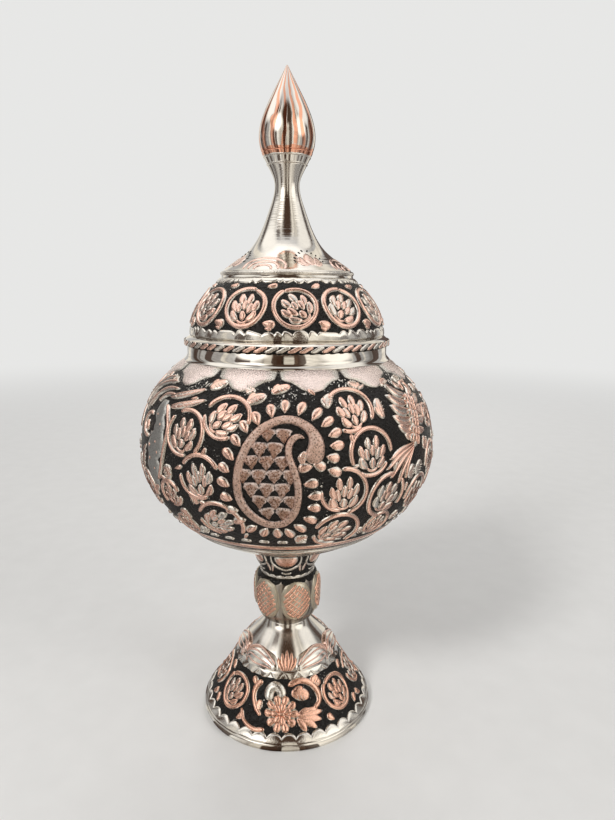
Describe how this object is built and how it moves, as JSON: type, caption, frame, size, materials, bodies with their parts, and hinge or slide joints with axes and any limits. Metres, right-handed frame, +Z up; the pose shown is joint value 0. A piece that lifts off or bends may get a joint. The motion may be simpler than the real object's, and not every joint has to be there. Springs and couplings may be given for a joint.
{
  "type": "footed lidded sweet box",
  "caption": "Footed round metal sweet bowl with a lift-off domed lid, a slender lid neck and a bud finial, engraved all over on a dark ground.",
  "frame": {"origin": "on the axis of turning, in the plane the foot stands on", "axes": "+Z up along the axis of turning, towards the finial; -Y towards the front of the ornament"},
  "size_m": [0.1348, 0.1346, 0.3],
  "materials": {
    "engraved_copper": "copper with a blackened punched ground and bright raised ornament",
    "tinned_copper": "copper, tinned and polished to a warm silver",
    "bare_copper": "polished bare copper, lacquered",
    "plated_nut": "bright plated, smooth",
    "steel_fastening": "plain zinc-plated steel"
  },
  "bodies": {
    "base": {"foot_shell": "engraved_copper", "stem_knop": "tinned_copper", "stem_calyx": "engraved_copper", "bowl_lower": "engraved_copper", "bowl_upper": "engraved_copper", "mouth_collar": "tinned_copper", "tie_rod": "steel_fastening", "foot_washer": "steel_fastening", "foot_nut": "steel_fastening", "bowl_washer": "tinned_copper", "bowl_cap_nut": "plated_nut"},
    "lid": {"lid_rim_band": "tinned_copper", "lid_plug_ring": "tinned_copper", "lid_dome": "engraved_copper", "lid_neck": "tinned_copper", "finial_cup": "tinned_copper", "finial_bud": "bare_copper", "finial_stud": "steel_fastening", "lid_washer": "steel_fastening", "lid_nut": "steel_fastening"}
  },
  "joints": [
    {"name": "lid_lift", "type": "slide", "parent": "base", "child": "lid", "axis": [0, 0, 1], "range_m": [0, 0.06]}
  ]
}
